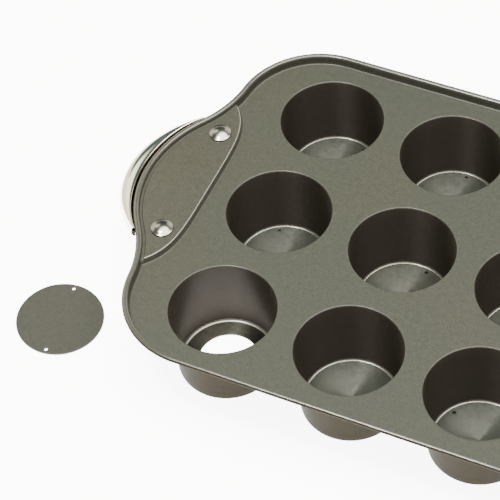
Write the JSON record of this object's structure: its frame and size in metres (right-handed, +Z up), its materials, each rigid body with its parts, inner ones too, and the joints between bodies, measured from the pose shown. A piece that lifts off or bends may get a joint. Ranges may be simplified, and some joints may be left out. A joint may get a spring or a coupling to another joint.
{
  "type": "mini cheesecake pan",
  "caption": "Non-stick mini cheesecake pan with round loose-bottomed cups in a rimmed deck and a riveted steel handle at each short end.",
  "frame": {"origin": "middle of the deck's top face, between the two middle columns of cups", "axes": "+X along the long side, towards the handle that the picture crops off; +Y along the short side, away from the viewer; +Z up, out of the cups"},
  "size_m": [0.3786, 0.2044, 0.0447],
  "materials": {
    "pan_coating": "satin non-stick coating",
    "disc_coating": "satin non-stick coating",
    "handle_steel": "polished",
    "rivet_steel": "polished"
  },
  "bodies": {
    "pan": {"deck": "pan_coating", "cup_a1": "pan_coating", "cup_a2": "pan_coating", "cup_a3": "pan_coating", "cup_a4": "pan_coating", "cup_b1": "pan_coating", "cup_b2": "pan_coating", "cup_b3": "pan_coating", "cup_b4": "pan_coating", "cup_c1": "pan_coating", "cup_c2": "pan_coating", "cup_c3": "pan_coating", "cup_c4": "pan_coating", "handle_left": "handle_steel", "handle_right": "handle_steel", "rivet_left_near": "rivet_steel", "rivet_left_far": "rivet_steel", "rivet_right_near": "rivet_steel", "rivet_right_far": "rivet_steel"},
    "bottom_a1": {"disc_a1": "disc_coating"},
    "bottom_a2": {"disc_a2": "disc_coating"},
    "bottom_a3": {"disc_a3": "disc_coating"},
    "bottom_a4": {"disc_a4": "disc_coating"},
    "bottom_b1": {"disc_b1": "disc_coating"},
    "bottom_b2": {"disc_b2": "disc_coating"},
    "bottom_b3": {"disc_b3": "disc_coating"},
    "bottom_b4": {"disc_b4": "disc_coating"},
    "bottom_c1": {"disc_c1": "disc_coating"},
    "bottom_c2": {"disc_c2": "disc_coating"},
    "bottom_c3": {"disc_c3": "disc_coating"},
    "bottom_c4": {"disc_c4": "disc_coating"}
  },
  "joints": [
    {"name": "lift_a1", "type": "slide", "parent": "pan", "child": "bottom_a1", "axis": [0, 0, 1], "range_m": [0, 0.055]},
    {"name": "lift_a2", "type": "slide", "parent": "pan", "child": "bottom_a2", "axis": [0, 0, 1], "range_m": [0, 0.055]},
    {"name": "lift_a3", "type": "slide", "parent": "pan", "child": "bottom_a3", "axis": [0, 0, 1], "range_m": [0, 0.055]},
    {"name": "lift_a4", "type": "slide", "parent": "pan", "child": "bottom_a4", "axis": [0, 0, 1], "range_m": [0, 0.055]},
    {"name": "lift_b1", "type": "slide", "parent": "pan", "child": "bottom_b1", "axis": [0, 0, 1], "range_m": [0, 0.055]},
    {"name": "lift_b2", "type": "slide", "parent": "pan", "child": "bottom_b2", "axis": [0, 0, 1], "range_m": [0, 0.055]},
    {"name": "lift_b3", "type": "slide", "parent": "pan", "child": "bottom_b3", "axis": [0, 0, 1], "range_m": [0, 0.055]},
    {"name": "lift_b4", "type": "slide", "parent": "pan", "child": "bottom_b4", "axis": [0, 0, 1], "range_m": [0, 0.055]},
    {"name": "lift_c1", "type": "slide", "parent": "pan", "child": "bottom_c1", "axis": [0, 0, 1], "range_m": [0, 0.055]},
    {"name": "lift_c2", "type": "slide", "parent": "pan", "child": "bottom_c2", "axis": [0, 0, 1], "range_m": [0, 0.055]},
    {"name": "lift_c3", "type": "slide", "parent": "pan", "child": "bottom_c3", "axis": [0, 0, 1], "range_m": [0, 0.055]},
    {"name": "lift_c4", "type": "slide", "parent": "pan", "child": "bottom_c4", "axis": [0, 0, 1], "range_m": [0, 0.055]}
  ]
}
